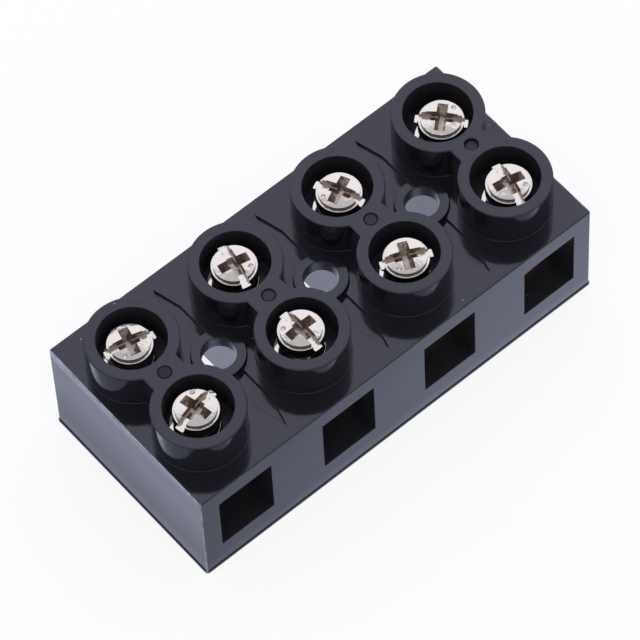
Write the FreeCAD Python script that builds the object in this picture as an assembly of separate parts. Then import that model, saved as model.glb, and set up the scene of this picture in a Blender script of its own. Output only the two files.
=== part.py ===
import FreeCAD, Part

import math
import os

# Barrier terminal strip with four poles and two rows of clamping screws.
# A black moulded housing is hollow from below. Four box-shaped wire tunnels run
# through it from the front to the back, and a tapped metal tube lies in each.
# Two collars over every tunnel hold a plain washer and a combination-head screw.
# Lengths are in millimetres. The origin is the middle of the underside, X runs
# along the strip, the front long side faces -Y and Z is up.

# Layout of the poles
POLES = 4
POLE_PITCH = 22.95
ROW_SPACING = 17.7
POLE_TO_END = 9.575
ROW_TO_SIDE = 11.5

# Screws, M5 with a combination head
SHANK_RADIUS = 2.5
SHANK_LENGTH = 16.0
TIP_CHAMFER = 0.5
HEAD_RADIUS = 4.15
HEAD_HEIGHT = 3.45
HEAD_EDGE = 0.2
RIM_WIDTH = 0.5
RIM_STEP = 0.6
DOME_HEIGHT = 0.35
SLOT_WIDTH = 1.5
SLOT_DEPTH = 1.5
EAR_REACH = 0.55
EAR_WIDTH = 1.6
EAR_HEIGHT = 0.45
CROSS_REACH = 2.95
CROSS_WIDTH = 1.9
CROSS_DEPTH = 2.5
CROSS_TAPER = 0.45
MARK_DISTANCE = 3.05
MARK_ANGLE = 50.0
MARK_RADIUS = 0.45
MARK_DEPTH = 0.2

# How each screw was left: slot angle from +X in degrees, and the gap under its head
FRONT_SCREWS = ((11.6, 1.4), (91.2, 2.5), (155.3, 2.1), (-102.4, 2.3))
BACK_SCREWS = ((166.2, 0.8), (-101.7, 1.9), (114.3, 2.1), (-48.3, 2.2))

# Plain washers
WASHER_RADIUS = 4.5
WASHER_THICKNESS = 1.0
WASHER_EDGE = 0.15
WASHER_CLEARANCE = 0.5
# How far each loose washer has slid towards the left end
WASHER_SLIDE = 0.45

# Terminal tubes
TUBE_WIDTH = 11.3
TUBE_HEIGHT = 13.5
TUBE_ROOF = 2.8
TUBE_FLOOR = 2.0
TUBE_WALL = 1.5
TUBE_OUTER_CORNER = 0.8
TUBE_INNER_CORNER = 0.5
TUBE_INSET = 6.75
TUBE_SIDE_CLEARANCE = 0.1
TUBE_TOP_CLEARANCE = 0.15
THREAD_CLEARANCE = 0.05
# How far each tube has slid towards the front in its tunnel
TUBE_SLIDES = (-0.75, -0.4, 0.4, 0.9)
# How far out of square the front end of each tube is sawn, in degrees
TUBE_SKEWS = (0.0, 0.0, 0.0, 2.5)

# Housing
TUNNEL_WALL = 1.15
TUNNEL_FLOOR = 1.15
TUNNEL_ROOF = 4.1
BASE_HOLLOW = 5.0
SIDE_WALL = 1.8
END_WALL = 1.9
TOP_PLATE = 1.7
BODY_CORNER = 0.4
BODY_EDGE = 0.2
HOLLOW_CORNER = 0.8
LIP_REACH = 0.2
LIP_HEIGHT = 0.5

# Collars round the screws
COLLAR_HEIGHT = 7.8
COLLAR_WALL = 2.1
COLLAR_EDGE = 0.25
WELL_DEPTH = 7.0
WELL_CLEARANCE = 1.7
WEB_WIDTH = 7.3
LEDGE_HOLE_CLEARANCE = 1.2
EJECTOR_RADIUS = 1.3
EJECTOR_GROOVE = 0.2
EJECTOR_DEPTHS = (0.1, 0.25, 0.2, 0.6)

# Mounting holes between the poles
MOUNT_HOLE_RADIUS = 3.1
MOUNT_RING_WALL = 1.75
MOUNT_RING_HEIGHT = 1.05
MOUNT_RING_EDGE = 0.15
LEAF_HALF_WIDTH = 1.45
LEAF_DEPTH = 0.6
LEAF_TO_SIDE = 2.65
LEAF_TAPER = 5.4

# Sizes that follow from the ones above
BODY_LENGTH = (POLES - 1) * POLE_PITCH + 2 * POLE_TO_END
BODY_WIDTH = ROW_SPACING + 2 * ROW_TO_SIDE
TUNNEL_WIDTH = TUBE_WIDTH + 2 * TUBE_SIDE_CLEARANCE
TUNNEL_HEIGHT = TUBE_HEIGHT + TUBE_TOP_CLEARANCE
TUNNEL_BOTTOM = BASE_HOLLOW + TUNNEL_FLOOR
BODY_HEIGHT = TUNNEL_BOTTOM + TUNNEL_HEIGHT + TUNNEL_ROOF
RIM_LEVEL = BODY_HEIGHT + COLLAR_HEIGHT
WELL_RADIUS = WASHER_RADIUS + WELL_CLEARANCE
WELL_FLOOR = RIM_LEVEL - WELL_DEPTH
COLLAR_RADIUS = WELL_RADIUS + COLLAR_WALL
WASHER_TOP = WELL_FLOOR + WASHER_THICKNESS
MOUNT_RING_RADIUS = MOUNT_HOLE_RADIUS + MOUNT_RING_WALL
PAST = 1.0
SAME_LEVEL = 1e-6

V = FreeCAD.Vector
Z_AXIS = V(0, 0, 1)


def pole_places():
    """X of each pole, from the left end to the right end."""
    first = -(POLES - 1) * POLE_PITCH / 2
    return [first + n * POLE_PITCH for n in range(POLES)]


def gap_places():
    """X of each mounting hole, midway between two poles."""
    return [x + POLE_PITCH / 2 for x in pole_places()[:-1]]


def row_places():
    """Y of the front row and of the back row of screws."""
    return {"front": -ROW_SPACING / 2, "back": ROW_SPACING / 2}


def block(width, depth, height, x, y, bottom):
    """Box centred on x and y, standing on the level called bottom."""
    return Part.makeBox(width, depth, height, V(x - width / 2, y - depth / 2, bottom))


def post(radius, height, x, y, bottom):
    """Upright cylinder."""
    return Part.makeCylinder(radius, height, V(x, y, bottom))


def rounded_block(width, depth, height, radius, x, y, bottom):
    """Upright block with round vertical corners."""
    solid = block(width, depth, height, x, y, bottom)
    upright = [e for e in solid.Edges if e.BoundBox.ZLength > height / 2]
    return solid.makeFillet(radius, upright)


def round_top(solid, level, radius):
    """Rounds every edge of the solid that lies at one level."""
    edges = [e for e in solid.Edges if abs(e.BoundBox.ZMin - level) + e.BoundBox.ZLength < SAME_LEVEL]
    return solid.makeFillet(radius, edges)


def ejector_mark(x, depth):
    """Round mark of an ejector pin on a collar's web, with a finer groove round its edge."""
    mark = post(EJECTOR_RADIUS, depth + PAST, x, 0, RIM_LEVEL - depth)
    groove = post(EJECTOR_RADIUS, depth + EJECTOR_GROOVE + PAST, x, 0, RIM_LEVEL - depth - EJECTOR_GROOVE)
    middle = post(EJECTOR_RADIUS - EJECTOR_GROOVE, EJECTOR_GROOVE, x, 0, RIM_LEVEL - depth - EJECTOR_GROOVE)
    return mark.fuse(groove.cut(middle))


def housing_body():
    """Outer block with its top edge rounded and a thin lip round the foot."""
    body = rounded_block(BODY_LENGTH, BODY_WIDTH, BODY_HEIGHT, BODY_CORNER, 0, 0, 0)
    body = round_top(body, BODY_HEIGHT, BODY_EDGE)
    lip_length = BODY_LENGTH + 2 * LIP_REACH
    lip_width = BODY_WIDTH + 2 * LIP_REACH
    lip = rounded_block(lip_length, lip_width, LIP_HEIGHT, BODY_CORNER + LIP_REACH, 0, 0, 0)
    return body.fuse(lip)


def collar_pair(x):
    """The figure-eight collar of one pole: two round collars joined by a web."""
    collars = [post(COLLAR_RADIUS, COLLAR_HEIGHT, x, y, BODY_HEIGHT) for y in row_places().values()]
    web = block(WEB_WIDTH, ROW_SPACING, COLLAR_HEIGHT, x, 0, BODY_HEIGHT)
    pair = web.fuse(collars).removeSplitter()
    pair = round_top(pair, RIM_LEVEL, COLLAR_EDGE)
    return pair


def leaf_outline():
    """Long narrow hexagon with a pointed end towards each long side of the body."""
    tip = BODY_WIDTH / 2 - LEAF_TO_SIDE
    knee = tip - LEAF_TAPER
    half = [V(LEAF_HALF_WIDTH, -knee, 0), V(LEAF_HALF_WIDTH, knee, 0), V(0, tip, 0)]
    points = half + [V(-p.x, -p.y, 0) for p in half]
    return Part.makePolygon(points + points[:1])


def leaf_recess(x):
    """Shallow recess that the ring round a mounting hole stands in."""
    leaf = Part.Face(leaf_outline()).extrude(V(0, 0, LEAF_DEPTH + PAST))
    leaf.translate(V(x, 0, BODY_HEIGHT - LEAF_DEPTH))
    return leaf


def mount_ring(x):
    """Low ring round a mounting hole, down to the underside of the top plate."""
    bottom = BODY_HEIGHT - TOP_PLATE
    top = BODY_HEIGHT + MOUNT_RING_HEIGHT
    ring = post(MOUNT_RING_RADIUS, top - bottom, x, 0, bottom)
    ring = ring.cut(mount_hole(x))
    return round_top(ring, top, MOUNT_RING_EDGE)


def mount_hole(x):
    """Mounting hole through the ring and the top plate."""
    height = MOUNT_RING_HEIGHT + TOP_PLATE + 2 * PAST
    return post(MOUNT_HOLE_RADIUS, height, x, 0, BODY_HEIGHT - TOP_PLATE - PAST)


def base_hollow():
    """Open space under the tunnels."""
    length = BODY_LENGTH - 2 * END_WALL
    width = BODY_WIDTH - 2 * SIDE_WALL
    return rounded_block(length, width, BASE_HOLLOW + PAST, HOLLOW_CORNER, 0, 0, -PAST)


def side_pocket(x):
    """Deep pocket between two tunnels, up to the underside of the top plate."""
    width = POLE_PITCH - TUNNEL_WIDTH - 2 * TUNNEL_WALL
    depth = BODY_WIDTH - 2 * SIDE_WALL
    height = BODY_HEIGHT - TOP_PLATE
    return rounded_block(width, depth, height + PAST, HOLLOW_CORNER, x, 0, -PAST)


def make_housing():
    """Moulded housing, one piece."""
    housing = housing_body()
    housing = housing.cut([leaf_recess(x) for x in gap_places()])
    raised = [collar_pair(x) for x in pole_places()] + [mount_ring(x) for x in gap_places()]
    housing = housing.fuse(raised)
    cuts = [base_hollow()]
    for x in gap_places():
        cuts.append(side_pocket(x))
        cuts.append(mount_hole(x))
    ledge_radius = SHANK_RADIUS + LEDGE_HOLE_CLEARANCE
    ledge_bottom = TUNNEL_BOTTOM + TUNNEL_HEIGHT
    for x, ejector_depth in zip(pole_places(), EJECTOR_DEPTHS):
        tunnel_length = BODY_WIDTH + 2 * PAST
        cuts.append(block(TUNNEL_WIDTH, tunnel_length, TUNNEL_HEIGHT, x, 0, TUNNEL_BOTTOM))
        cuts.append(ejector_mark(x, ejector_depth))
        for y in row_places().values():
            cuts.append(post(WELL_RADIUS, WELL_DEPTH + PAST, x, y, WELL_FLOOR))
            cuts.append(post(ledge_radius, WELL_FLOOR - ledge_bottom + 2 * PAST, x, y, ledge_bottom - PAST))
    return housing.cut(cuts).removeSplitter()


def saw_waste(x, front, skew):
    """What the saw takes off the front end of a tube: nothing at its left corner, most at its right."""
    corner = V(x - TUBE_WIDTH / 2, front, TUNNEL_BOTTOM - PAST)
    start = corner - V(TUBE_WIDTH, TUBE_WIDTH, 0)
    waste = Part.makeBox(3 * TUBE_WIDTH, TUBE_WIDTH, TUBE_HEIGHT + 2 * PAST, start)
    waste.rotate(corner, Z_AXIS, skew)
    return waste


def make_tube(x, slide, skew):
    """Rectangular terminal tube with a thick roof and a tapped hole under each screw."""
    length = BODY_WIDTH - 2 * TUBE_INSET
    turn_up = (V(0, 0, 0), V(1, 0, 0), 90)
    outer = rounded_block(TUBE_WIDTH, TUBE_HEIGHT, length, TUBE_OUTER_CORNER, 0, 0, 0)
    bore_width = TUBE_WIDTH - 2 * TUBE_WALL
    bore_height = TUBE_HEIGHT - TUBE_ROOF - TUBE_FLOOR
    bore_shift = (TUBE_FLOOR - TUBE_ROOF) / 2
    bore = rounded_block(
        bore_width, bore_height, length + 2 * PAST, TUBE_INNER_CORNER, 0, bore_shift, -PAST
    )
    tube = outer.cut(bore)
    tube.rotate(*turn_up)
    tube.translate(V(x, length / 2 - slide, TUNNEL_BOTTOM + TUBE_HEIGHT / 2))
    roof_bottom = TUNNEL_BOTTOM + TUBE_HEIGHT - TUBE_ROOF
    holes = [
        post(SHANK_RADIUS + THREAD_CLEARANCE, TUBE_ROOF + 2 * PAST, x, y - slide, roof_bottom - PAST)
        for y in row_places().values()
    ]
    return tube.cut(holes + [saw_waste(x, -length / 2 - slide, skew)])


def make_washer(x, y):
    """Plain washer lying on the floor of its well, its upper edge rounded."""
    disc = post(WASHER_RADIUS, WASHER_THICKNESS, x, y, WELL_FLOOR)
    disc = round_top(disc, WASHER_TOP, WASHER_EDGE)
    hole = post(SHANK_RADIUS + WASHER_CLEARANCE, WASHER_THICKNESS + 2 * PAST, x, y, WELL_FLOOR - PAST)
    return disc.cut(hole)


def screw_blank():
    """Head and shank turned about Z, with the underside of the head at Z = 0."""
    rim_level = HEAD_HEIGHT - DOME_HEIGHT - RIM_STEP
    cap_level = HEAD_HEIGHT - DOME_HEIGHT
    cap_radius = HEAD_RADIUS - RIM_WIDTH
    dome_radius = (cap_radius ** 2 + DOME_HEIGHT ** 2) / (2 * DOME_HEIGHT)
    mid_radius = cap_radius / 2
    mid_level = HEAD_HEIGHT - dome_radius + math.sqrt(dome_radius ** 2 - mid_radius ** 2)
    edge_mid = HEAD_EDGE * (1 - math.sqrt(0.5))
    corners = [
        V(0, 0, -SHANK_LENGTH),
        V(SHANK_RADIUS - TIP_CHAMFER, 0, -SHANK_LENGTH),
        V(SHANK_RADIUS, 0, TIP_CHAMFER - SHANK_LENGTH),
        V(SHANK_RADIUS, 0, 0),
        V(HEAD_RADIUS, 0, 0),
        V(HEAD_RADIUS, 0, rim_level - HEAD_EDGE),
    ]
    rim_start = V(HEAD_RADIUS - HEAD_EDGE, 0, rim_level)
    edge_point = V(HEAD_RADIUS - edge_mid, 0, rim_level - edge_mid)
    step_foot = V(cap_radius, 0, rim_level)
    cap_edge = V(cap_radius, 0, cap_level)
    top = V(0, 0, HEAD_HEIGHT)
    edges = [Part.LineSegment(a, b).toShape() for a, b in zip(corners, corners[1:])]
    edges.append(Part.Arc(corners[-1], edge_point, rim_start).toShape())
    edges.append(Part.LineSegment(rim_start, step_foot).toShape())
    edges.append(Part.LineSegment(step_foot, cap_edge).toShape())
    edges.append(Part.Arc(cap_edge, V(mid_radius, 0, mid_level), top).toShape())
    edges.append(Part.LineSegment(top, corners[0]).toShape())
    return Part.Face(Part.Wire(edges)).revolve(V(0, 0, 0), Z_AXIS, 360)


def cross_arm(turn):
    """One tapered arm of the cross recess, through the axis of the screw."""
    outlines = []
    levels = [(HEAD_HEIGHT, 1.0), (HEAD_HEIGHT - CROSS_DEPTH, CROSS_TAPER)]
    for level, share in levels:
        a = CROSS_REACH * share
        b = CROSS_WIDTH * share / 2
        points = [V(a, b, level), V(-a, b, level), V(-a, -b, level), V(a, -b, level)]
        outlines.append(Part.makePolygon(points + points[:1]))
    arm = Part.makeLoft(outlines, True, True)
    arm.rotate(V(0, 0, 0), Z_AXIS, turn)
    return arm


def screw_pattern():
    """Screw with its slot along X: full-width slot, cross recess, ears and punch mark."""
    screw = screw_blank()
    slot_floor = HEAD_HEIGHT - SLOT_DEPTH
    ear_circle = post(HEAD_RADIUS + EAR_REACH, EAR_HEIGHT, 0, 0, slot_floor - EAR_HEIGHT)
    slot_length = 2 * (HEAD_RADIUS + EAR_REACH + PAST)
    ear_bar = block(slot_length, EAR_WIDTH, EAR_HEIGHT, 0, 0, slot_floor - EAR_HEIGHT)
    screw = screw.fuse(ear_circle.common(ear_bar))
    slot = block(slot_length, SLOT_WIDTH, SLOT_DEPTH + PAST, 0, 0, slot_floor)
    turn = math.radians(MARK_ANGLE)
    dome_drop = DOME_HEIGHT * (MARK_DISTANCE / (HEAD_RADIUS - RIM_WIDTH)) ** 2
    ball_radius = (MARK_RADIUS ** 2 + MARK_DEPTH ** 2) / (2 * MARK_DEPTH)
    ball_level = HEAD_HEIGHT - dome_drop - MARK_DEPTH + ball_radius
    place = V(MARK_DISTANCE * math.cos(turn), MARK_DISTANCE * math.sin(turn), ball_level)
    mark = Part.makeSphere(ball_radius, place)
    return screw.cut([slot, cross_arm(0), cross_arm(90), mark])


def placed_screw(pattern, x, y, angle, gap):
    """A screw turned to its slot angle and raised by the gap under its head."""
    screw = pattern.copy()
    screw.rotate(V(0, 0, 0), Z_AXIS, angle)
    screw.translate(V(x, y, WASHER_TOP + gap))
    return screw


def make_parts():
    """Every piece of the strip by its name."""
    parts = {"housing": make_housing()}
    pattern = screw_pattern()
    left_as = {"front": FRONT_SCREWS, "back": BACK_SCREWS}
    poles = zip(pole_places(), TUBE_SLIDES, TUBE_SKEWS)
    for number, (x, slide, skew) in enumerate(poles, start=1):
        parts[f"terminal_tube_{number}"] = make_tube(x, slide, skew)
        for row, y in row_places().items():
            angle, gap = left_as[row][number - 1]
            parts[f"washer_{number}_{row}"] = make_washer(x - WASHER_SLIDE, y - slide)
            parts[f"screw_{number}_{row}"] = placed_screw(pattern, x, y - slide, angle, gap)
    return parts


os.makedirs("parts", exist_ok=True)
for name, shape in make_parts().items():
    shape.exportStep(f"parts/{name}.step")
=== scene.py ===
import math

import bmesh
import bpy
from bpy.props import FloatProperty, FloatVectorProperty, IntProperty, PointerProperty
from mathutils import Matrix, Vector


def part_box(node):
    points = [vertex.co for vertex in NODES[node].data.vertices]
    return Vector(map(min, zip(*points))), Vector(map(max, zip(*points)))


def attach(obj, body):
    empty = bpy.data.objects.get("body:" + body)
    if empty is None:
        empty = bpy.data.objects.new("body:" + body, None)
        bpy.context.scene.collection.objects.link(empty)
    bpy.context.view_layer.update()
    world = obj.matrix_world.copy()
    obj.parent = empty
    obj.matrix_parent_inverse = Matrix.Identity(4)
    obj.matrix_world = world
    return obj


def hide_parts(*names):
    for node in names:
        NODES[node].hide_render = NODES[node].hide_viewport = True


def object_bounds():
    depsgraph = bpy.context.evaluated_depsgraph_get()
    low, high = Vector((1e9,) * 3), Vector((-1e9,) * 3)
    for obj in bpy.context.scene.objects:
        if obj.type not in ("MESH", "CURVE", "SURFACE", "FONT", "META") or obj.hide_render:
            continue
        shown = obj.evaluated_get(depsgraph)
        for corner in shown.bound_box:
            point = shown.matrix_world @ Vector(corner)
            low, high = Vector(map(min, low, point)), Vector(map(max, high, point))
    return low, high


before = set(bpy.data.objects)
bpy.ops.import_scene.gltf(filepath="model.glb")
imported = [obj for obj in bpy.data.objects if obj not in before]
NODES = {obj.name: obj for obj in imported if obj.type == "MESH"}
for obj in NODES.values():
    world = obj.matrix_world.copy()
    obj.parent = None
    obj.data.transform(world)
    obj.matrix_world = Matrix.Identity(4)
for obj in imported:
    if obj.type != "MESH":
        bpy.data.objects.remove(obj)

bl_info = {
    "name": "Barrier terminal strip",
    "version": (1, 0, 0),
    "blender": (4, 5, 0),
    "location": "3D View > Sidebar > Terminal strip",
    "description": "Dresses a four-pole barrier terminal strip with its moulding and metal parts",
    "category": "Object",
}

MM = 0.001
CAD_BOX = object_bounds()
POLES = range(1, 5)
ROWS = ("front", "back")

# Places of the materials on the moulding, and on the screws after their bright plate.
SKIN, MARK, CORE = 0, 1, 2
DARKER_RECESS, GROOVE_SHADE = 1, 2

# What the properties of one sort have in common.
LENGTH = {"min": 0, "precision": 5, "subtype": "DISTANCE", "unit": "LENGTH"}
FINE_LENGTH = {**LENGTH, "precision": 6}
COLOUR = {"size": 3, "min": 0, "max": 1, "subtype": "COLOR"}
BRIGHT_COLOUR = {**COLOUR, "max": 2}
ROUGHNESS = {"min": 0.03, "max": 1}
SHARE = {"min": 0, "max": 1}


def linear(colour):
    """Linear RGB of an sRGB hex colour."""
    parts = [int(colour[n:n + 2], 16) / 255 for n in (1, 3, 5)]
    return tuple(p / 12.92 if p <= 0.04045 else ((p + 0.055) / 1.055) ** 2.4 for p in parts)


def add_node(tree, kind, settings=(), links=()):
    """Adds a shader node, sets its properties and sockets, and links other nodes' outputs to it."""
    made = tree.nodes.new(kind)
    for name, value in dict(settings).items():
        if isinstance(name, int) or name in made.inputs:
            made.inputs[name].default_value = value
        else:
            setattr(made, name, value)
    for name, output in dict(links).items():
        tree.links.new(output, made.inputs[name])
    return made


def new_tree(name):
    """A new material, its node tree with nothing in it but an output, and that output."""
    material = bpy.data.materials.new(name)
    material.use_nodes = True
    tree = material.node_tree
    tree.nodes.clear()
    return material, tree, add_node(tree, "ShaderNodeOutputMaterial")


def add_piece(name, bm, materials, body, node):
    """Turns a bmesh into a piece that rides on a body and stands for a CAD node."""
    mesh = bpy.data.meshes.new(name)
    bm.to_mesh(mesh)
    bm.free()
    mesh.shade_smooth()
    piece = bpy.data.objects.new(name, mesh)
    bpy.context.scene.collection.objects.link(piece)
    for material in materials:
        mesh.materials.append(material)
    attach(piece, body)
    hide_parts(node)
    return piece


def merged_copy(node):
    """Closed bmesh of a CAD node: its triangles joined, and those of each flat face made one."""
    weld = 0.001 * MM
    upright_to, level_from = 0.001, 0.99999
    bm = bmesh.new()
    bm.from_mesh(NODES[node].data)
    bmesh.ops.remove_doubles(bm, verts=bm.verts, dist=weld)
    plain = {face for face in bm.faces if not upright_to < abs(face.normal.z) < level_from}
    bmesh.ops.dissolve_limit(
        bm, angle_limit=math.radians(0.3), use_dissolve_boundaries=False, delimit=set(),
        verts=[vert for vert in bm.verts if plain.issuperset(vert.link_faces)],
        edges=[edge for edge in bm.edges if plain.issuperset(edge.link_faces)],
    )
    return bm


def mark_edges(bm, angle):
    """Weights the edges sharper than an angle for rounding, where upright and level faces meet.

    The edges of the slopes and rounds that the solid has already stay as they are.
    """
    upright_to, level_from = 0.05, 0.995
    weight = bm.edges.layers.float.new("bevel_weight_edge")
    for edge in bm.edges:
        slopes = [abs(face.normal.z) for face in edge.link_faces]
        plain = len(slopes) == 2 and not any(upright_to < slope < level_from for slope in slopes)
        if plain and edge.calc_face_angle(0) > angle:
            edge[weight] = 1.0


def pole_places():
    """X of the middle of each pole, from its terminal tube."""
    boxes = [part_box(f"terminal_tube_{number}") for number in POLES]
    return [(low[0] + high[0]) / 2 for low, high in boxes]


def pick_finishes(bm, settings):
    """Gives each face of the moulding its finish.

    An ejector mark is dull, the wells, tunnels and fixing holes have the finish of the mould's cores,
    and the rest has the polished skin.
    """
    poles = pole_places()
    marks = [(x, 0) for x in poles]
    holes = [((a + b) / 2, 0) for a, b in zip(poles, poles[1:])]
    wells = [(x, side * settings.row_place) for x in poles for side in (-1, 1)]
    # A tunnel is a little wider and higher than the tube in it.
    beside, below, above = 0.15 * MM, 0.1 * MM, 0.3 * MM
    tube_low, tube_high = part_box("terminal_tube_1")
    half_tunnel = (tube_high[0] - tube_low[0]) / 2 + beside
    tunnel_floor, tunnel_roof = tube_low[2] - below, tube_high[2] + above
    well_from = settings.well_floor - 0.1 * MM

    def around(points, centres, radius):
        """Whether all points lie within a radius of one of the centres, or 2 % past it."""
        reach = 1.02 * radius
        near = [centre for centre in centres if math.dist(points[0].xy, centre) < reach]
        return any(all(math.dist(point.xy, centre) < reach for point in points) for centre in near)

    for face in bm.faces:
        points = [vert.co for vert in face.verts]
        bottom, top = min(point.z for point in points), max(point.z for point in points)
        is_level, is_upright = abs(face.normal.z) > 0.99, abs(face.normal.z) < 0.1
        is_along_tunnel = abs(face.normal.y) < 0.5
        if is_level and bottom > settings.mark_level:
            face.material_index = MARK if around(points, marks, settings.mark_radius) else SKIN
        elif bottom > well_from and around(points, wells, settings.well_radius):
            face.material_index = CORE
        elif is_upright and around(points, holes, settings.hole_radius):
            face.material_index = CORE
        elif is_along_tunnel and tunnel_floor < bottom and top < tunnel_roof:
            sides = (min(abs(point.x - x) for x in poles) for point in points)
            face.material_index = CORE if max(sides) < half_tunnel else SKIN


def round_edges(piece, width):
    """Small round on the weighted edges of a piece, with flat faces kept flat."""
    bevel = piece.modifiers.new("edge round", "BEVEL")
    bevel.width = width
    bevel.segments = 2
    bevel.limit_method = "WEIGHT"
    bevel.use_clamp_overlap = False
    bevel.loop_slide = False
    normals = piece.modifiers.new("flat faces", "WEIGHTED_NORMAL")
    normals.weight = 80
    normals.keep_sharp = True


def black_moulding(name, settings, colour, gloss, sheen_level):
    """Injection-moulded black ABS: a mirror-like skin with sink marks, flow lines and nicks, and a painted
    highlight and sheen on the end walls' top edges.
    """
    material, tree, output = new_tree(name)
    place = add_node(tree, "ShaderNodeTexCoord").outputs["Object"]
    across = add_node(tree, "ShaderNodeSeparateXYZ", links={"Vector": place}).outputs
    # The lines that the lapping left are drawn out, and all turned the same way.
    drawn_out, turn = 0.06, 0.35
    lapped = add_node(
        tree, "ShaderNodeMapping", {"Scale": (drawn_out, 1, 1), "Rotation": (0, 0, turn)}, {"Vector": place}
    ).outputs["Vector"]

    # Each level is a number on the surface: a pattern, a distance or how much of a mark lies there.
    level = {"depth": across["Y"], "height": across["Z"]}
    for pattern, vector, size, detail, roughness in (
        ("sink", place, 11 * MM, 1.5, 0.45),
        ("peel", place, 1.4 * MM, 2.0, 0.5),
        ("haze", place, 6 * MM, 4.0, 0.6),
        ("fine lines", lapped, 0.22 * MM, 2.0, 0.5),
    ):
        look = {"Scale": 1 / size, "Detail": detail, "Roughness": roughness}
        level[pattern] = add_node(tree, "ShaderNodeTexNoise", look, {"Vector": vector}).outputs["Fac"]
    specks = add_node(
        tree, "ShaderNodeTexVoronoi", {"Scale": 1 / (3.2 * MM), "Randomness": 1.0}, {"Vector": place}
    ).outputs
    level["from speck"] = specks["Distance"]
    chance = add_node(tree, "ShaderNodeSeparateColor", links={0: specks["Color"]}).outputs[0]
    left_out = 0.87
    level["chosen speck"] = add_node(
        tree, "ShaderNodeMath", {"operation": "GREATER_THAN", 1: left_out}, {0: chance}
    ).outputs[0]
    for distance, axis in (("from middle", "X"), ("from centre line", "Y")):
        level[distance] = add_node(
            tree, "ShaderNodeMath", {"operation": "ABSOLUTE"}, {0: across[axis]}
        ).outputs[0]

    rim_top = CAD_BOX[1][2]
    top, end, side = settings.edge_level, settings.edge_end, settings.edge_side
    soft = {"interpolation_type": "SMOOTHSTEP"}
    for mark, measure, start, stop, more in (
        # The rims of the collars are lapped flat.
        ("rim", "height", rim_top - 0.25 * MM, rim_top - 0.1 * MM, {}),
        # The end walls lean out a little under their top edge, not everywhere by as much.
        ("on end wall", "from middle", end - 0.3 * MM, end - 0.15 * MM, {}),
        ("leaning", "height", top - 2.4 * MM, top, soft),
        ("uneven", "haze", 0.35, 0.65, {"To Min": 0.1}),
        # Their top edges carry a painted highlight, and their corners a fainter one.
        ("edge from", "height", top - 0.3 * MM, top - 0.12 * MM, {}),
        ("edge to", "height", top + 0.1 * MM, top, {}),
        ("at corner", "from centre line", side - 0.42 * MM, side - 0.25 * MM, {"To Max": 0.55}),
        ("under top", "height", top + 0.05 * MM, top - 0.05 * MM, {}),
        ("patchy", "peel", 0.3, 0.6, {"To Min": 0.5}),
        # Towards the back a painted sheen band lies under that edge as well.
        ("band", "height", top - 2.8 * MM, top - 1.2 * MM, soft),
        ("at back", "depth", -10 * MM, 6 * MM, {"To Max": settings.sheen_band_level}),
        # A few nicks and dust specks are each about 0.2 mm across.
        ("speck", "from speck", 0.045, 0.02, {}),
        # The skin's roughness varies a little.
        ("skin roughness", "haze", 0, 1, {"To Min": gloss - 0.02, "To Max": gloss + 0.04}),
    ):
        limits = {"From Min": start, "From Max": stop, **more}
        level[mark] = add_node(
            tree, "ShaderNodeMapRange", limits, {"Value": level[measure]}
        ).outputs["Result"]

    for mark, operation, first, *others in (
        ("lap lines", "MULTIPLY", "fine lines", "rim"),
        ("lean", "MULTIPLY", "leaning", "on end wall", "uneven"),
        ("scraped edge", "MULTIPLY", "edge from", "edge to", "on end wall"),
        ("scraped corner", "MULTIPLY", "at corner", "on end wall", "under top"),
        ("highlit", "MAXIMUM", "scraped edge", "scraped corner"),
        ("scraped patches", "MULTIPLY", "highlit", "patchy"),
        ("sheened", "MULTIPLY", "band", "on end wall", "at back", "under top"),
        ("nicks", "MULTIPLY", "speck", "chosen speck"),
        ("pale", "MAXIMUM", "scraped patches", "sheened", "nicks"),
    ):
        level[mark] = level[first]
        for other in others:
            level[mark] = add_node(
                tree, "ShaderNodeMath", {"operation": operation}, {0: level[mark], 1: level[other]}
            ).outputs[0]

    normal = {}
    for height, depth in (
        ("sink", settings.sink_depth), ("lean", settings.lean_depth),
        ("peel", settings.peel_depth), ("lap lines", settings.line_depth),
    ):
        bump = add_node(
            tree, "ShaderNodeBump", {"Strength": 1.0, "Distance": depth},
            {"Height": level[height], **normal},
        )
        normal = {"Normal": bump.outputs["Normal"]}

    # The pale mix paints the highlights and the sheen band on the end walls, and gives the real nicks and
    # specks their colour.
    tone = add_node(
        tree, "ShaderNodeMix",
        {"data_type": "RGBA", 6: (*colour, 1), 7: (*settings.highlight_and_nick_colour, 1)}, {0: level["pale"]},
    )
    rim_rough = add_node(
        tree, "ShaderNodeMath", {"operation": "MULTIPLY", 1: settings.rim_haze}, {0: level["rim"]}
    )
    rough = add_node(
        tree, "ShaderNodeMath", {"operation": "ADD"}, {0: level["skin roughness"], 1: rim_rough.outputs[0]}
    )
    sheen = add_node(
        tree, "ShaderNodeMapRange", {"To Min": sheen_level, "To Max": sheen_level * settings.rim_sheen},
        {"Value": level["rim"]},
    )
    shader = add_node(
        tree, "ShaderNodeBsdfPrincipled", {"IOR": 1.56, "Specular Tint": (*settings.sheen, 1)},
        {"Base Color": tone.outputs[2], "Roughness": rough.outputs[0],
         "Specular IOR Level": sheen.outputs["Result"], **normal},
    )
    tree.links.new(shader.outputs["BSDF"], output.inputs["Surface"])
    return material


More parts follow.
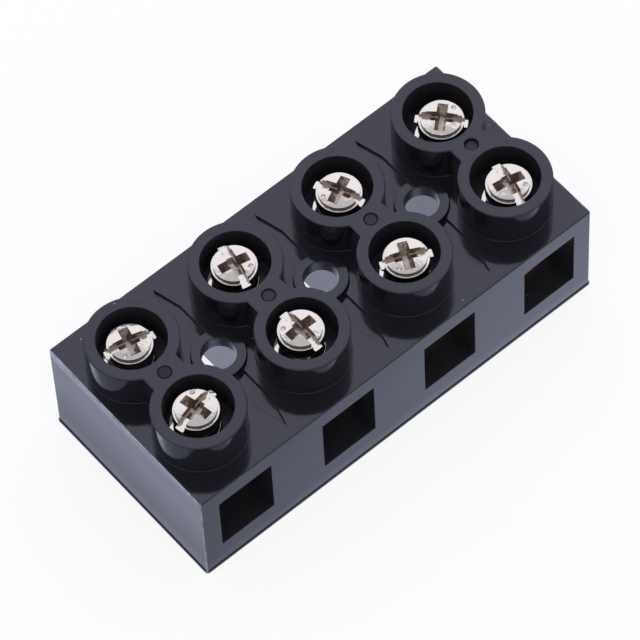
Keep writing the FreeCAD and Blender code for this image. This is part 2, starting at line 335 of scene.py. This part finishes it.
def nickel_plate(name, colour, polish, edge_round, dents):
    """Bright nickel plate over steel, with light tumbling marks from the barrel."""
    smoothest, roughest = 0.75, 1.4
    material, tree, output = new_tree(name)
    place = add_node(tree, "ShaderNodeTexCoord").outputs["Object"]
    marks = add_node(
        tree, "ShaderNodeTexNoise", {"Scale": 1 / (1.1 * MM), "Detail": 2.0}, {"Vector": place}
    )
    soft_edges = add_node(tree, "ShaderNodeBevel", {"samples": 4, "Radius": edge_round})
    bump = add_node(
        tree, "ShaderNodeBump", {"Strength": 1.0, "Distance": dents},
        {"Height": marks.outputs["Fac"], "Normal": soft_edges.outputs[0]},
    )
    rough = add_node(
        tree, "ShaderNodeMapRange", {"To Min": smoothest * polish, "To Max": roughest * polish},
        {"Value": marks.outputs["Fac"]},
    )
    shader = add_node(
        tree, "ShaderNodeBsdfPrincipled",
        {"Base Color": (*colour, 1), "Metallic": 1.0},
        {"Roughness": rough.outputs["Result"], "Normal": bump.outputs["Normal"]},
    )
    tree.links.new(shader.outputs["BSDF"], output.inputs["Surface"])
    return material


def sawn_brass(settings):
    """Drawn brass tube, dulled by handling, with clean sawn ends that the saw's teeth left matt; the ends'
    lighter colour is a painted highlight.
    """
    material, tree, output = new_tree("drawn_brass")
    place = add_node(tree, "ShaderNodeTexCoord").outputs
    stretched = add_node(
        tree, "ShaderNodeMapping", {"Scale": (1.0, 0.08, 1.0)}, {"Vector": place["Object"]}
    )
    drawn = add_node(
        tree, "ShaderNodeTexNoise", {"Scale": 1 / (0.5 * MM), "Detail": 3.0},
        {"Vector": stretched.outputs["Vector"]},
    )
    bump = add_node(
        tree, "ShaderNodeBump", {"Strength": 1.0, "Distance": 0.006 * MM}, {"Height": drawn.outputs["Fac"]}
    )
    stain = add_node(
        tree, "ShaderNodeTexNoise", {"Scale": 1 / (5 * MM), "Detail": 4.0}, {"Vector": place["Object"]}
    ).outputs["Fac"]
    tarnish = add_node(
        tree, "ShaderNodeMapRange", {"From Min": 0.4, "From Max": 0.75, "To Max": 0.8}, {"Value": stain}
    )
    tone = add_node(
        tree, "ShaderNodeMix",
        {"data_type": "RGBA", 6: (*settings.brass_colour, 1), 7: (*settings.stain_colour, 1)},
        {0: tarnish.outputs["Result"]},
    )
    rough = add_node(tree, "ShaderNodeMapRange", {"To Min": 0.25, "To Max": 0.42}, {"Value": stain})

    facing = add_node(tree, "ShaderNodeSeparateXYZ", links={"Vector": place["Normal"]})
    end = add_node(tree, "ShaderNodeMath", {"operation": "ABSOLUTE"}, {0: facing.outputs["Y"]})
    sawn = add_node(
        tree, "ShaderNodeMath", {"operation": "GREATER_THAN", 1: 0.9}, {0: end.outputs[0]}
    ).outputs[0]
    end_rough = add_node(
        tree, "ShaderNodeMix", {3: settings.sawn_roughness}, {0: sawn, 2: rough.outputs["Result"]}
    )
    # The sawn ends are free of tarnish, and their lighter colour is painted light.
    lit_end_tone = add_node(
        tree, "ShaderNodeMix", {"data_type": "RGBA", 7: (*settings.lit_sawn_colour, 1)},
        {0: sawn, 6: tone.outputs[2]},
    )
    shader = add_node(
        tree, "ShaderNodeBsdfPrincipled", {"Metallic": 1.0},
        {"Base Color": lit_end_tone.outputs[2], "Roughness": end_rough.outputs[0],
         "Normal": bump.outputs["Normal"]},
    )
    tree.links.new(shader.outputs["BSDF"], output.inputs["Surface"])
    return material


def white_floor(settings):
    """Matt white paper, seen as plain white with the strip's own shadow left on it, and with painted light
    and shade round the strip where it is mirrored.
    """
    material, tree, output = new_tree("white_paper")
    place = add_node(tree, "ShaderNodeTexCoord").outputs["Object"]
    across = add_node(tree, "ShaderNodeSeparateXYZ", links={"Vector": place}).outputs
    half_length, front_edge = CAD_BOX[1][0], CAD_BOX[0][1]

    # How far a place lies outside the strip's ends and its long sides, and the larger of the two.
    outside = []
    for axis, name in enumerate("XY"):
        size = add_node(tree, "ShaderNodeMath", {"operation": "ABSOLUTE"}, {0: across[name]})
        outside.append(add_node(
            tree, "ShaderNodeMath", {"operation": "SUBTRACT", 1: CAD_BOX[1][axis]}, {0: size.outputs[0]}
        ).outputs[0])
    # Beyond the ends the light falls off a little nearer to the strip.
    from_end = add_node(
        tree, "ShaderNodeMath", {"operation": "ADD", 1: 2.4 * MM}, {0: outside[0]}
    ).outputs[0]
    away, far_away = (
        add_node(tree, "ShaderNodeMath", {"operation": "MAXIMUM"}, {0: end, 1: outside[1]}).outputs[0]
        for end in (outside[0], from_end)
    )

    # Where the strip mirrors the floor, the floor's brightness is painted light and shade, ramp by ramp.
    level = {}
    for part, distance, start, stop, first, last in (
        # In front of the strip, painted shade dims what its long side mirrors, most of all at the left.
        ("front_shade", across["X"], -half_length, half_length, settings.front_shade, settings.front_shade_end),
        ("front shade away", away, 1 * MM, 11 * MM, 1.05, 0.93),
        ("in front", across["Y"], front_edge + 0.5 * MM, front_edge - 0.1 * MM, 0, 1),
        ("elsewhere", away, 0.4 * MM, 5 * MM, 0.62, 0.93),
        # As it is mirrored, the paper gets painted light at the strip's foot and painted shade a finger's
        # breadth away.
        ("foot", away, 0.1 * MM, 1.3 * MM, 1.32, 1),
        ("far", far_away, 11.2 * MM, 15 * MM, 1, settings.far),
        ("under", away, -1 * MM, -1.5 * MM, 0, 1),
    ):
        limits = {"From Min": start, "From Max": stop, "To Min": first, "To Max": last}
        level[part] = add_node(tree, "ShaderNodeMapRange", limits, {"Value": distance}).outputs["Result"]
    front_shaded = add_node(
        tree, "ShaderNodeMath", {"operation": "MULTIPLY"}, {0: level["front_shade"], 1: level["front shade away"]}
    )
    shaded = add_node(
        tree, "ShaderNodeMix", links={0: level["in front"], 2: level["elsewhere"], 3: front_shaded.outputs[0]}
    )
    for part in ("foot", "far"):
        shaded = add_node(
            tree, "ShaderNodeMath", {"operation": "MULTIPLY"}, {0: shaded.outputs[0], 1: level[part]}
        )
    brightness = add_node(
        tree, "ShaderNodeMix", {3: settings.under}, {0: level["under"], 2: shaded.outputs[0]}
    )

    # The camera sees mostly plain white, and enough of the lit paper to keep the strip's shadow.
    white_strength, white_share = 1.03, 0.85
    rays = add_node(tree, "ShaderNodeLightPath").outputs
    paper = add_node(tree, "ShaderNodeBsdfDiffuse", {"Color": (*linear("#f9f9f9"), 1)})
    white = add_node(tree, "ShaderNodeEmission", {"Strength": white_strength})
    cool = add_node(
        tree, "ShaderNodeEmission", {"Color": (*settings.mirrored_colour, 1)},
        {"Strength": brightness.outputs[0]},
    )
    seen = add_node(
        tree, "ShaderNodeMath", {"operation": "MULTIPLY", 1: white_share}, {0: rays["Is Camera Ray"]}
    )
    mirrored = add_node(
        tree, "ShaderNodeMath", {"operation": "MAXIMUM"},
        {0: rays["Is Glossy Ray"], 1: rays["Is Transmission Ray"]},
    )
    plain = add_node(
        tree, "ShaderNodeMixShader", links={0: seen.outputs[0], 1: paper.outputs[0], 2: white.outputs[0]}
    )
    mixed = add_node(
        tree, "ShaderNodeMixShader", links={0: mirrored.outputs[0], 1: plain.outputs[0], 2: cool.outputs[0]}
    )
    tree.links.new(mixed.outputs[0], output.inputs["Surface"])
    return material


class MouldingSettings(bpy.types.PropertyGroup):
    """Finish of the black moulding."""
    edge_round: FloatProperty(
        name="Edge round", description="Round on the moulding's sharp edges",
        default=0.09 * MM, **LENGTH,
    )
    colour: FloatVectorProperty(
        name="Colour", description="Colour of the plastic under its gloss",
        default=linear("#1b1b1f"), **COLOUR,
    )
    sheen: FloatVectorProperty(
        name="Reflection tint", description="Tint of the gloss seen straight on",
        default=linear("#f1f2ff"), **COLOUR,
    )
    gloss: FloatProperty(
        name="Roughness", description="Mean roughness of the moulded skin", default=0.09, **ROUGHNESS
    )
    rim_haze: FloatProperty(
        name="Rim haze", description="How much rougher the rims of the collars are",
        default=0.28, min=0, max=0.6,
    )
    rim_sheen: FloatProperty(
        name="Rim reflection", description="How strongly the rims mirror, as a share of the other faces",
        default=1.12, min=0, max=2,
    )
    core_colour: FloatVectorProperty(
        name="Core colour", description="Colour of the unpolished faces that the mould's cores left",
        default=linear("#27272b"), **COLOUR,
    )
    core_gloss: FloatProperty(
        name="Core roughness", description="Mean roughness of the wells, tunnels and fixing holes",
        default=0.3, **ROUGHNESS,
    )
    core_sheen: FloatProperty(
        name="Core reflection", description="Specular level of the wells, tunnels and fixing holes",
        default=0.35, **SHARE,
    )
    well_radius: FloatProperty(
        name="Well radius", description="Radius of the wells round the screws",
        default=6.2 * MM, **LENGTH,
    )
    well_floor: FloatProperty(
        name="Well floor", description="Level of the wells' floors", default=24.7 * MM, **LENGTH
    )
    row_place: FloatProperty(
        name="Row", description="Distance of a row of wells from the middle",
        default=8.85 * MM, **LENGTH,
    )
    hole_radius: FloatProperty(
        name="Hole radius", description="Radius of the fixing holes", default=3.1 * MM, **LENGTH
    )
    mark_gloss: FloatProperty(
        name="Ejector mark roughness", description="Mean roughness of the ejector marks",
        default=0.45, **ROUGHNESS,
    )
    mark_sheen: FloatProperty(
        name="Ejector mark reflection", description="Specular level of the ejector marks",
        default=0.4, **SHARE,
    )
    mark_radius: FloatProperty(
        name="Ejector mark radius", description="Radius of the ejector marks on the webs",
        default=1.3 * MM, **LENGTH,
    )
    mark_level: FloatProperty(
        name="Ejector mark level", description="Level above which the ejector marks lie",
        default=30.5 * MM, **LENGTH,
    )
    edge_level: FloatProperty(
        name="Top level", description="Level of the body's top", default=23.9 * MM, **LENGTH
    )
    edge_end: FloatProperty(
        name="End wall", description="Distance of an end wall from the middle",
        default=44.0 * MM, **LENGTH,
    )
    edge_side: FloatProperty(
        name="Long side", description="Distance of a long side from the middle",
        default=20.35 * MM, **LENGTH,
    )
    highlight_and_nick_colour: FloatVectorProperty(
        name="Highlights and nicks", description="Colour of scraped edges and nicks",
        default=linear("#b9bccb"), **COLOUR,
    )
    sheen_band_level: FloatProperty(
        name="Painted sheen band", description="How pale the rubbed band under an end wall's top edge is",
        default=0.2, **SHARE,
    )
    lean_depth: FloatProperty(
        name="Lean", description="How far the end walls lean out under their top edge",
        default=0.12 * MM, **LENGTH,
    )
    line_depth: FloatProperty(
        name="Lap lines", description="Depth of the fine lines across the rims",
        default=0.025 * MM, **FINE_LENGTH,
    )
    sink_depth: FloatProperty(
        name="Sink depth", description="Depth of the slow waves in the moulded faces",
        default=0.1 * MM, **LENGTH,
    )
    peel_depth: FloatProperty(
        name="Peel depth", description="Depth of the fine waves in the moulded faces",
        default=0.0015 * MM, **FINE_LENGTH,
    )


class MetalSettings(bpy.types.PropertyGroup):
    """Sizes and finish of the screws, washers and tubes."""
    edge_round: FloatProperty(
        name="Edge round", description="Round on the screw head's sharp edges",
        default=0.05 * MM, **LENGTH,
    )
    head_height: FloatProperty(
        name="Head height", description="Height of a screw's head", default=3.45 * MM, **LENGTH
    )
    head_radius: FloatProperty(
        name="Head radius", description="Radius of a screw's head", default=4.15 * MM, **LENGTH
    )
    thread_radius: FloatProperty(
        name="Thread radius", description="Outer radius of the M5 thread", default=2.5 * MM, **LENGTH
    )
    thread_pitch: FloatProperty(
        name="Thread pitch", description="Rise of the M5 thread in one turn", default=0.8 * MM, **LENGTH
    )
    thread_depth: FloatProperty(
        name="Thread depth", description="Depth of the M5 thread", default=0.49 * MM, **LENGTH
    )
    steps: IntProperty(
        name="Steps", description="Steps in one turn of the thread", default=32, min=12, max=64
    )
    polish: FloatProperty(
        name="Screw roughness", description="Mean roughness of the nickel plate on the screws",
        default=0.15, **ROUGHNESS,
    )
    washer_polish: FloatProperty(
        name="Washer roughness", description="Mean roughness of the nickel plate on the washers",
        default=0.07, **ROUGHNESS,
    )
    dents: FloatProperty(
        name="Dents", description="Depth of the tumbling marks in the screws' heads",
        default=0.09 * MM, **LENGTH,
    )
    recess_dents: FloatProperty(
        name="Recess dents",
        description="Depth of the tool marks in the slot's and the cross recess's walls",
        default=0.3 * MM, **LENGTH,
    )
    recess_polish: FloatProperty(
        name="Recess roughness", description="Mean roughness of the slot's and the cross recess's walls",
        default=0.32, **ROUGHNESS,
    )
    recess_colour: FloatVectorProperty(
        name="Recess", description="Colour of the darker plate on the slot's and the cross recess's walls",
        default=linear("#b0a398"), **COLOUR,
    )
    groove_shade_colour: FloatVectorProperty(
        name="Painted shade in groove",
        description="Colour of the nickel plate with painted shade in the groove round the dome and under the head",
        default=linear("#5c5049"), **COLOUR,
    )
    slot_depth: FloatProperty(
        name="Slot depth", description="Depth of the slot under the top of the head",
        default=1.5 * MM, **LENGTH,
    )
    plate_colour: FloatVectorProperty(
        name="Nickel", description="Colour of the nickel plate", default=linear("#d2cbc2"), **COLOUR
    )
    brass_colour: FloatVectorProperty(
        name="Brass", description="Colour of clean brass", default=linear("#d9bb7c"), **COLOUR
    )
    lit_sawn_colour: FloatVectorProperty(
        name="Sawn brass", description="Colour of the tubes' sawn ends",
        default=linear("#f2d9a6"), **COLOUR,
    )
    sawn_roughness: FloatProperty(
        name="Sawn end roughness", description="Roughness of the tubes' sawn ends",
        default=0.9, **ROUGHNESS,
    )
    stain_colour: FloatVectorProperty(
        name="Tarnish", description="Colour of tarnished brass", default=linear("#8f7648"), **COLOUR
    )


class StageSettings(bpy.types.PropertyGroup):
    """Camera, floor and light."""
    focal_length: FloatProperty(
        name="Focal length", description="Focal length of the camera", default=296.295, min=20
    )
    floor_size: FloatProperty(
        name="Floor size", description="Side of the floor",
        default=6.0, min=1, subtype="DISTANCE", unit="LENGTH",
    )
    box_size: FloatProperty(
        name="Soft box size", description="Side of the soft box",
        default=1.6, min=0.1, subtype="DISTANCE", unit="LENGTH",
    )
    box_distance: FloatProperty(
        name="Soft box distance", description="Distance of the soft box from the strip",
        default=1.3, min=0.3, subtype="DISTANCE", unit="LENGTH",
    )
    box_tilt: FloatProperty(
        name="Soft box tilt", description="How far the soft box leans away from straight overhead",
        default=math.radians(53.6), min=0, max=math.radians(80), subtype="ANGLE", unit="ROTATION",
    )
    box_side: FloatProperty(
        name="Soft box side", description="Direction of the soft box over the floor, from +X",
        default=math.radians(52.6), subtype="ANGLE", unit="ROTATION",
    )
    box_power: FloatProperty(
        name="Soft box power", description="Power of the soft box", default=4.9, min=0, unit="POWER"
    )
    mirrored_colour: FloatVectorProperty(
        name="Mirrored floor", description="Colour of the floor as the strip mirrors it",
        default=(0.86, 0.912, 1.145), **BRIGHT_COLOUR,
    )
    front_shade: FloatProperty(
        name="Painted front shade",
        description="Brightness of the floor in front of the strip, as its long side mirrors it",
        default=0.6, **SHARE,
    )
    front_shade_end: FloatProperty(
        name="Painted front shade's right end", description="The same at the strip's right end",
        default=1.05, min=0, max=1.5,
    )
    under: FloatProperty(
        name="Under the strip", description="Brightness of the floor under the strip, as it is mirrored",
        default=1.12, min=0, max=2,
    )
    far: FloatProperty(
        name="Far floor",
        description="Brightness of the floor a finger's breadth away, as it is mirrored",
        default=0.42, **SHARE,
    )
    light_colour: FloatVectorProperty(
        name="Light colour", description="Cool daylight of the soft box and the tent",
        default=(0.95, 0.97, 1.08), **BRIGHT_COLOUR,
    )
    fill: FloatProperty(
        name="Fill", description="Strength of the light from all round", default=0.75, min=0
    )


def cut_off(bm, level, side):
    """Cuts off what lies under a level, or over it where side is -1, and closes the cut."""
    cut = bmesh.ops.bisect_plane(
        bm, geom=bm.verts[:] + bm.edges[:] + bm.faces[:], dist=1e-8,
        plane_co=(0, 0, level), plane_no=(0, 0, side), clear_inner=True,
    )
    rim = [item for item in cut["geom_cut"] if isinstance(item, bmesh.types.BMEdge)]
    bmesh.ops.holes_fill(bm, edges=rim, sides=0)


def head_mesh(node, settings):
    """The screw's head alone, from its CAD node without the plain shank, and the level of its underside."""
    bm = merged_copy(node)
    low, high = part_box(node)
    under_head = high[2] - settings.head_height
    cut_off(bm, under_head - 0.02 * MM, 1)

    middle = Vector(((low[0] + high[0]) / 2, (low[1] + high[1]) / 2))
    slot_floor = high[2] - settings.slot_depth
    recess_from = slot_floor - 0.05 * MM
    recess_to, groove_from = 0.93 * settings.head_radius, 0.8 * settings.head_radius
    for face in bm.faces:
        place = face.calc_center_median()
        out = place.xy - middle
        faces_outwards = face.normal.xy.dot(out.normalized()) > 0.6
        rise = face.normal.z
        # The slot and the cross recess have walls that don't face outwards, and deep floors.
        is_within = place.z > under_head and out.length < recess_to and not faces_outwards
        is_wall = -0.1 < rise < 0.8
        is_floor = rise >= 0.8 and place.z < recess_from
        if is_within and (is_wall or is_floor):
            face.material_index = DARKER_RECESS
        # Painted shade darkens the groove round the dome and the head's underside.
        is_steep = 0 <= rise < 0.4 and place.z > slot_floor
        is_groove = is_steep and faces_outwards and out.length > groove_from
        is_underside = rise < -0.5
        if is_groove or is_underside:
            face.material_index = GROOVE_SHADE
    return bm, under_head


def thread_mesh(bm, axis_place, top, tip, settings):
    """Adds a closed M5 thread from the underside of the head to the tip."""
    thread = bmesh.new()
    pitch = settings.thread_pitch
    outer = settings.thread_radius
    root = outer - settings.thread_depth
    # One turn of the thread's outline: its root, a flank, the crest, a flank and the root again.
    outline = (
        (root, 0), (root, pitch / 8), (outer, pitch * 7 / 16),
        (outer, pitch * 9 / 16), (root, pitch * 7 / 8), (root, pitch),
    )
    start = tip - 2 * pitch
    points = [thread.verts.new((radius, 0, start + rise)) for radius, rise in outline]
    edges = [thread.edges.new(pair) for pair in zip(points, points[1:])]
    turns = math.ceil((top - start) / pitch) + 1
    bmesh.ops.spin(
        thread, geom=points + edges, cent=(0, 0, 0), axis=(0, 0, 1), dvec=(0, 0, pitch / settings.steps),
        angle=2 * math.pi * turns, steps=turns * settings.steps, use_merge=False,
    )
    bmesh.ops.remove_doubles(thread, verts=thread.verts, dist=0.002 * MM)
    cut_off(thread, tip, 1)
    cut_off(thread, top, -1)

    # The tip's first turns are pointed, as a turned chamfer leaves them.
    chamfer, blunting = 0.6 * MM, 0.1 * MM
    for vert in thread.verts:
        rise = vert.co.z - tip
        radius = math.hypot(vert.co.x, vert.co.y)
        limit = outer - blunting - chamfer + rise
        if rise < chamfer and radius > limit > 0:
            vert.co.x *= limit / radius
            vert.co.y *= limit / radius
    bmesh.ops.recalc_face_normals(thread, faces=thread.faces)
    bmesh.ops.translate(thread, verts=thread.verts, vec=axis_place)
    made = bpy.data.meshes.new("thread")
    thread.to_mesh(made)
    thread.free()
    bm.from_mesh(made)
    bpy.data.meshes.remove(made)


class STRIP_OT_housing(bpy.types.Operator):
    """Make the black moulding with its edges rounded"""
    bl_idname = "terminal_strip.housing"
    bl_label = "Housing"

    def execute(self, context):
        settings = context.scene.strip_moulding
        bm = merged_copy("housing")
        mark_edges(bm, math.radians(50))
        pick_finishes(bm, settings)
        plain_sheen = 0.5
        skin = black_moulding(
            "injection_moulded_black_abs", settings, settings.colour, settings.gloss, plain_sheen
        )
        dull = black_moulding(
            "dull_black_abs_of_ejector_marks", settings, settings.colour,
            settings.mark_gloss, settings.mark_sheen,
        )
        cored = black_moulding(
            "unpolished_black_abs_of_cores", settings, settings.core_colour,
            settings.core_gloss, settings.core_sheen,
        )
        piece = add_piece("moulded_housing", bm, [skin, dull, cored], "housing", "housing")
        round_edges(piece, settings.edge_round)
        return {"FINISHED"}


class STRIP_OT_screws(bpy.types.Operator):
    """Make the eight clamping screws with their heads and threads"""
    bl_idname = "terminal_strip.screws"
    bl_label = "Clamping screws"

    def execute(self, context):
        settings = context.scene.strip_metal
        plate = nickel_plate(
            "bright_nickel_on_steel", settings.plate_colour, settings.polish,
            settings.edge_round, settings.dents,
        )
        # The slot's and the cross recess's walls and floors are darker and rougher than the rest of the
        # head.
        darker_recess_plate = nickel_plate(
            "darker_nickel_in_recess", settings.recess_colour, settings.recess_polish,
            settings.edge_round, settings.recess_dents,
        )
        # A darker nickel paints the shade in the groove round the dome and under the head.
        shaded_groove = nickel_plate(
            "nickel_with_painted_shade_in_groove", settings.groove_shade_colour, settings.recess_polish,
            settings.edge_round, settings.dents,
        )
        crease = math.radians(28)
        for number in POLES:
            for row in ROWS:
                node = f"screw_{number}_{row}"
                bm, under_head = head_mesh(node, settings)
                low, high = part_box(node)
                axis_place = ((low[0] + high[0]) / 2, (low[1] + high[1]) / 2, 0)
                thread_mesh(bm, axis_place, under_head, low[2], settings)
                for edge in bm.edges:
                    edge.smooth = len(edge.link_faces) == 2 and edge.calc_face_angle(0) < crease
                name = f"clamping_screw_{number}_{row}"
                add_piece(name, bm, [plate, darker_recess_plate, shaded_groove], node, node)
        return {"FINISHED"}


class STRIP_OT_washers(bpy.types.Operator):
    """Finish the eight plain washers in bright nickel"""
    bl_idname = "terminal_strip.washers"
    bl_label = "Washers"

    def execute(self, context):
        settings = context.scene.strip_metal
        # A stamped washer has far shallower marks than a screw's head.
        plate = nickel_plate(
            "smooth_nickel_on_washer", settings.plate_colour, settings.washer_polish,
            settings.edge_round, 0.1 * settings.dents,
        )
        for number in POLES:
            for row in ROWS:
                NODES[f"washer_{number}_{row}"].material_slots[0].material = plate
        return {"FINISHED"}


class STRIP_OT_tubes(bpy.types.Operator):
    """Finish the four terminal tubes in drawn brass"""
    bl_idname = "terminal_strip.tubes"
    bl_label = "Terminal tubes"

    def execute(self, context):
        brass = sawn_brass(context.scene.strip_metal)
        for number in POLES:
            NODES[f"terminal_tube_{number}"].material_slots[0].material = brass
        return {"FINISHED"}


class STRIP_OT_stage(bpy.types.Operator):
    """Lay the white floor, hang the soft box and place the camera"""
    bl_idname = "terminal_strip.stage"
    bl_label = "Stage"

    def execute(self, context):
        scene = context.scene
        settings = scene.strip_stage

        bm = bmesh.new()
        bmesh.ops.create_grid(bm, x_segments=1, y_segments=1, size=settings.floor_size / 2)
        mesh = bpy.data.meshes.new("floor")
        bm.to_mesh(mesh)
        bm.free()
        mesh.materials.append(white_floor(settings))
        floor = bpy.data.objects.new("floor", mesh)
        scene.collection.objects.link(floor)

        lamp = bpy.data.lights.new("soft_box", "AREA")
        lamp.shape = "SQUARE"
        lamp.size = settings.box_size
        lamp.energy = settings.box_power
        lamp.color = settings.light_colour
        soft_box = bpy.data.objects.new("soft_box", lamp)
        away = Vector((
            math.sin(settings.box_tilt) * math.cos(settings.box_side),
            math.sin(settings.box_tilt) * math.sin(settings.box_side),
            math.cos(settings.box_tilt),
        ))
        turned = away.to_track_quat("Z", "Y").to_matrix().to_4x4()
        soft_box.matrix_world = Matrix.Translation(away * settings.box_distance) @ turned
        soft_box.visible_camera = False
        scene.collection.objects.link(soft_box)

        world = bpy.data.worlds.new("light_tent")
        scene.world = world
        world.use_nodes = True
        tree = world.node_tree
        tree.nodes.clear()
        tent = add_node(
            tree, "ShaderNodeBackground", {"Color": (*settings.light_colour, 1), "Strength": settings.fill}
        )
        end = add_node(tree, "ShaderNodeOutputWorld")
        tree.links.new(tent.outputs[0], end.inputs["Surface"])

        eye = bpy.data.cameras.new("camera")
        eye.sensor_width = 36
        eye.lens = settings.focal_length
        eye.clip_start = 0.05
        eye.clip_end = 20
        camera = bpy.data.objects.new("camera", eye)
        camera.matrix_world = camera_place()
        scene.collection.objects.link(camera)
        scene.camera = camera
        scene.view_settings.view_transform = "Standard"
        return {"FINISHED"}


def camera_place():
    """Camera pose fitted to the strip's corners, rims and openings in the photograph."""
    azimuth, elevation, roll = (math.radians(angle) for angle in (-37.358, 59.049, -3.571))
    distance, left, down = 906.456, 0.647, 6.771
    aim = Vector((0, 0, 23.9 * MM))
    back = Vector((
        math.sin(azimuth) * math.cos(elevation),
        -math.cos(azimuth) * math.cos(elevation),
        math.sin(elevation),
    ))
    level = Vector((math.cos(azimuth), math.sin(azimuth), 0))
    up = back.cross(level)
    right = level * math.cos(roll) + up * math.sin(roll)
    upright = up * math.cos(roll) - level * math.sin(roll)
    place = Matrix((right, upright, back)).transposed().to_4x4()
    place.translation = (back * distance - level * left - up * down) * MM + aim
    return place


class STRIP_PT_panel(bpy.types.Panel):
    """Pieces of the terminal strip"""
    bl_idname = "STRIP_PT_panel"
    bl_label = "Terminal strip"
    bl_space_type = "VIEW_3D"
    bl_region_type = "UI"
    bl_category = "Terminal strip"

    def draw(self, context):
        for made in OPERATORS:
            self.layout.operator(made.bl_idname)
        for group in (context.scene.strip_moulding, context.scene.strip_metal, context.scene.strip_stage):
            column = self.layout.column()
            # The first two, rna_type and name, are part of every group.
            for name in group.bl_rna.properties.keys()[2:]:
                column.prop(group, name)


OPERATORS = (STRIP_OT_stage, STRIP_OT_housing, STRIP_OT_screws, STRIP_OT_washers, STRIP_OT_tubes)
GROUPS = (MouldingSettings, MetalSettings, StageSettings)
CLASSES = (*GROUPS, *OPERATORS, STRIP_PT_panel)


def register():
    for made in CLASSES:
        bpy.utils.register_class(made)
    bpy.types.Scene.strip_moulding = PointerProperty(type=MouldingSettings)
    bpy.types.Scene.strip_metal = PointerProperty(type=MetalSettings)
    bpy.types.Scene.strip_stage = PointerProperty(type=StageSettings)


def unregister():
    del bpy.types.Scene.strip_stage
    del bpy.types.Scene.strip_metal
    del bpy.types.Scene.strip_moulding
    for made in reversed(CLASSES):
        bpy.utils.unregister_class(made)


def main():
    register()
    bpy.ops.terminal_strip.stage()
    bpy.ops.terminal_strip.housing()
    bpy.ops.terminal_strip.screws()
    bpy.ops.terminal_strip.washers()
    bpy.ops.terminal_strip.tubes()


if __name__ == "__main__":
    main()
